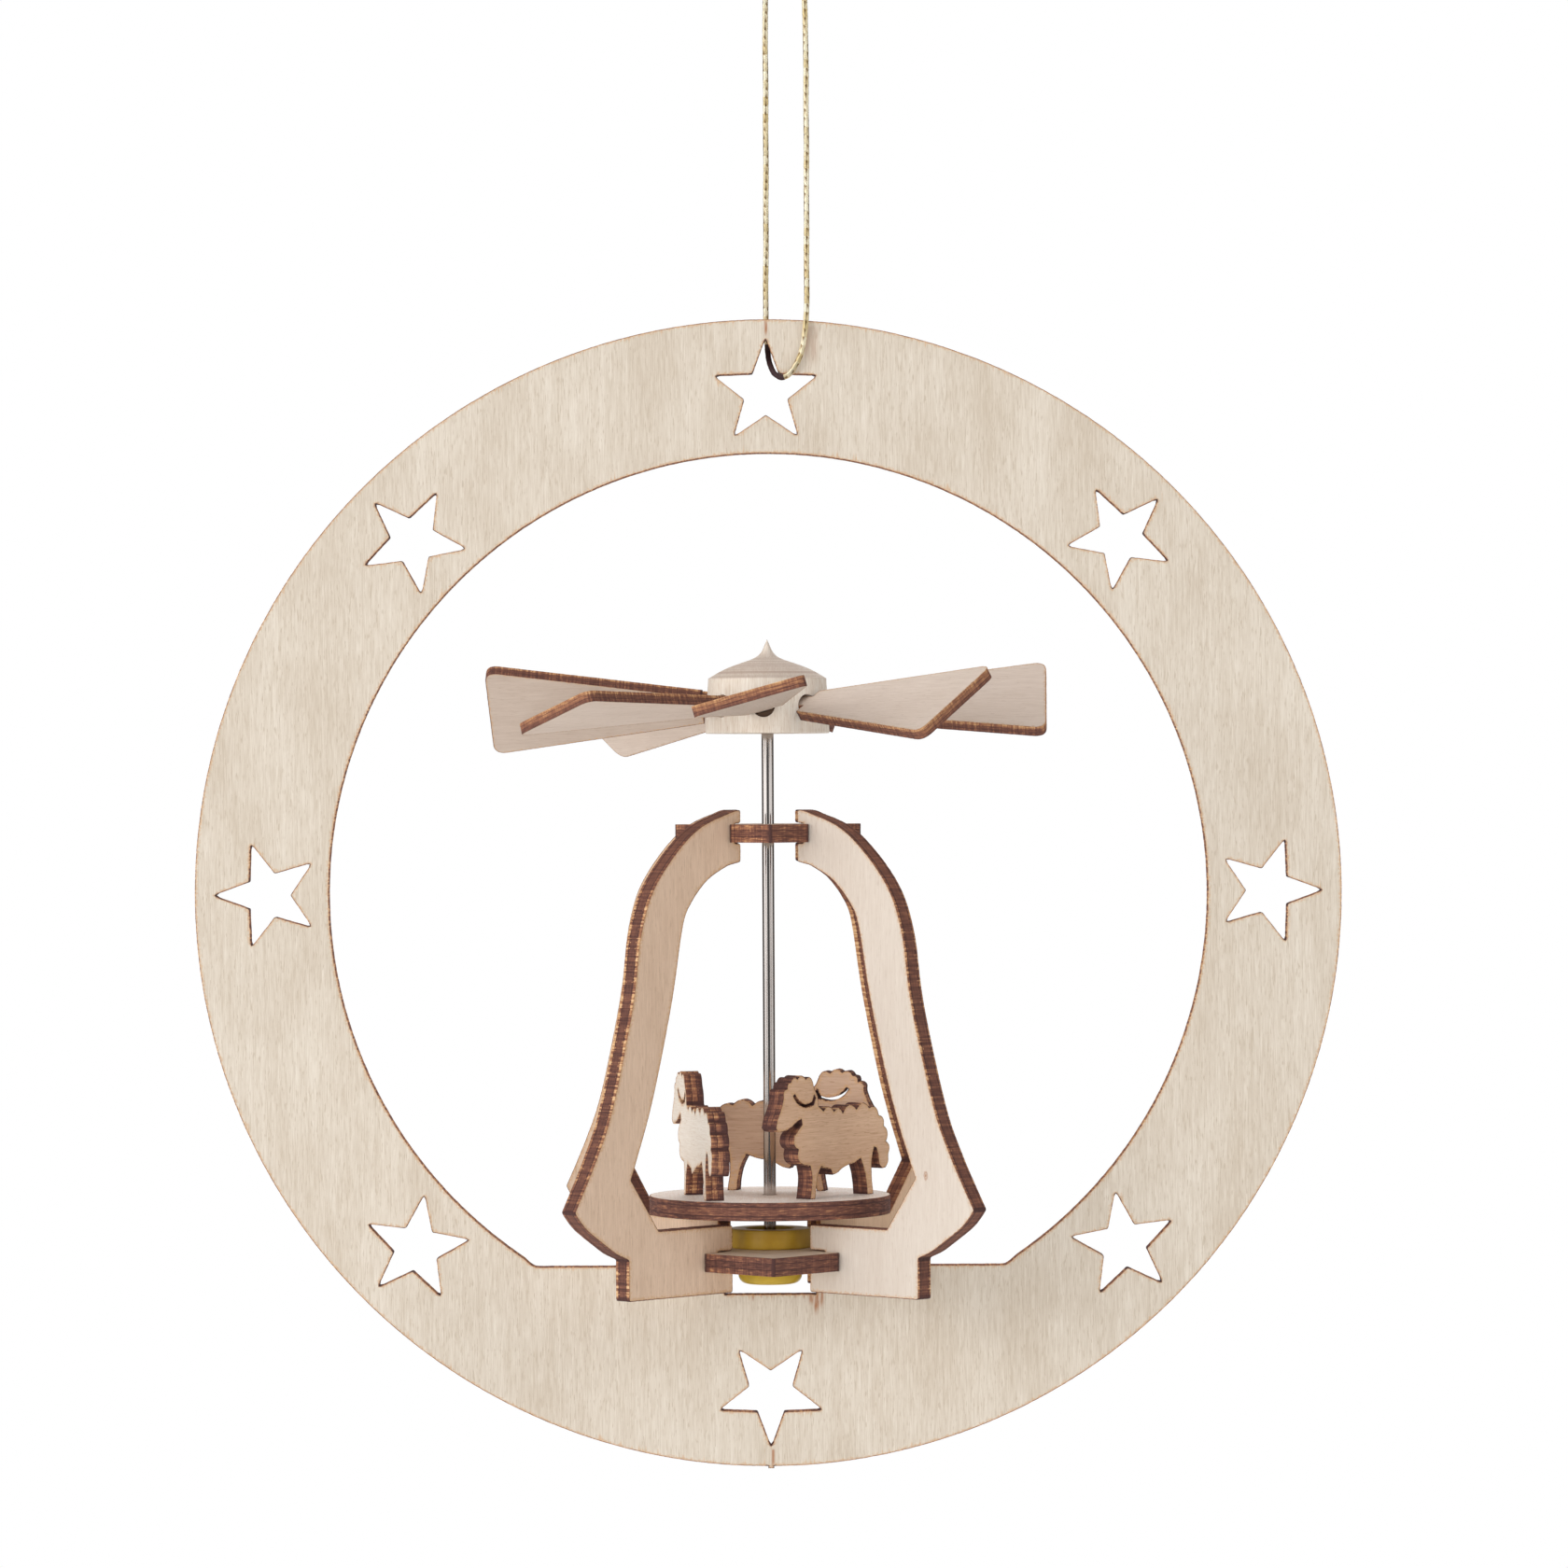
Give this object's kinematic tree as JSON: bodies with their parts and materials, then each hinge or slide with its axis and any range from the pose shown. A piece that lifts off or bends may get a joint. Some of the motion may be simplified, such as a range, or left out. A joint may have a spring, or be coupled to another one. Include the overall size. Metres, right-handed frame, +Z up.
{
  "type": "christmas pyramid",
  "caption": "Hanging plywood ring with star cut-outs round a warm-air pyramid: pitched blades, shaft and turntable with sheep turn inside a bell of ribs.",
  "frame": {"origin": "inside of the apex of the cord's loop, where a hook holds the ornament", "axes": "+Z up along the hanging cord, +Y square to the ring's flat faces, away from the front view"},
  "size_m": [0.19, 0.0933, 0.2597],
  "materials": {
    "ring_wood": "raw",
    "plate_wood": "raw",
    "turned_wood": "raw",
    "blade_wood": "raw",
    "sheep_wood": "raw",
    "cup_plastic": "gloss",
    "clear_glass": "gloss",
    "steel": "bright",
    "gold_thread": "metallic"
  },
  "bodies": {
    "frame": {"ring": "ring_wood", "upper_plate": "plate_wood", "lower_plate": "plate_wood", "rib_front_left": "plate_wood", "rib_front_right": "plate_wood", "rib_back_left": "plate_wood", "rib_back_right": "plate_wood", "bearing_cup": "cup_plastic", "bearing_glass": "clear_glass", "hanging_cord": "gold_thread", "cord_knot": "gold_thread"},
    "rotor": {"shaft": "steel", "hub": "turned_wood", "turntable": "plate_wood", "sheep_1": "sheep_wood", "sheep_2": "sheep_wood", "sheep_3": "sheep_wood"},
    "blade_1": {"blade_1": "blade_wood"},
    "blade_2": {"blade_2": "blade_wood"},
    "blade_3": {"blade_3": "blade_wood"},
    "blade_4": {"blade_4": "blade_wood"},
    "blade_5": {"blade_5": "blade_wood"},
    "blade_6": {"blade_6": "blade_wood"},
    "blade_7": {"blade_7": "blade_wood"},
    "blade_8": {"blade_8": "blade_wood"}
  },
  "joints": [
    {"name": "rotor_spin", "type": "hinge", "parent": "frame", "child": "rotor", "pos_m": [-0.0032, 0, -0.2188], "axis": [0, 0, 1], "continuous": true},
    {"name": "blade_1_pitch", "type": "hinge", "parent": "rotor", "child": "blade_1", "pos_m": [0.00468, -0.00048, -0.1261], "axis": [0.9978, -0.061, 0.0244], "range_deg": [-25.7, 24.3]},
    {"name": "blade_2_pitch", "type": "hinge", "parent": "rotor", "child": "blade_2", "pos_m": [0.00272, 0.00524, -0.1261], "axis": [0.749, 0.6626, 0], "range_deg": [-12, 38]},
    {"name": "blade_3_pitch", "type": "hinge", "parent": "rotor", "child": "blade_3", "pos_m": [-0.00272, 0.00788, -0.1261], "axis": [0.061, 0.9981, 0], "range_deg": [-10, 40]},
    {"name": "blade_4_pitch", "type": "hinge", "parent": "rotor", "child": "blade_4", "pos_m": [-0.00843, 0.00592, -0.1261], "axis": [-0.662, 0.7483, -0.0419], "range_deg": [-29.2, 20.8]},
    {"name": "blade_5_pitch", "type": "hinge", "parent": "rotor", "child": "blade_5", "pos_m": [-0.01108, 0.00048, -0.1261], "axis": [-0.9981, 0.061, -0.0087], "range_deg": [-34.4, 15.6]},
    {"name": "blade_6_pitch", "type": "hinge", "parent": "rotor", "child": "blade_6", "pos_m": [-0.00912, -0.00524, -0.1261], "axis": [-0.7485, -0.6622, -0.0349], "range_deg": [-6.5, 43.5]},
    {"name": "blade_7_pitch", "type": "hinge", "parent": "rotor", "child": "blade_7", "pos_m": [-0.00368, -0.00788, -0.1261], "axis": [-0.061, -0.9977, 0.0279], "range_deg": [-5.4, 44.6]},
    {"name": "blade_8_pitch", "type": "hinge", "parent": "rotor", "child": "blade_8", "pos_m": [0.00203, -0.00592, -0.1261], "axis": [0.6626, -0.749, 0], "range_deg": [-23.8, 26.2]}
  ]
}
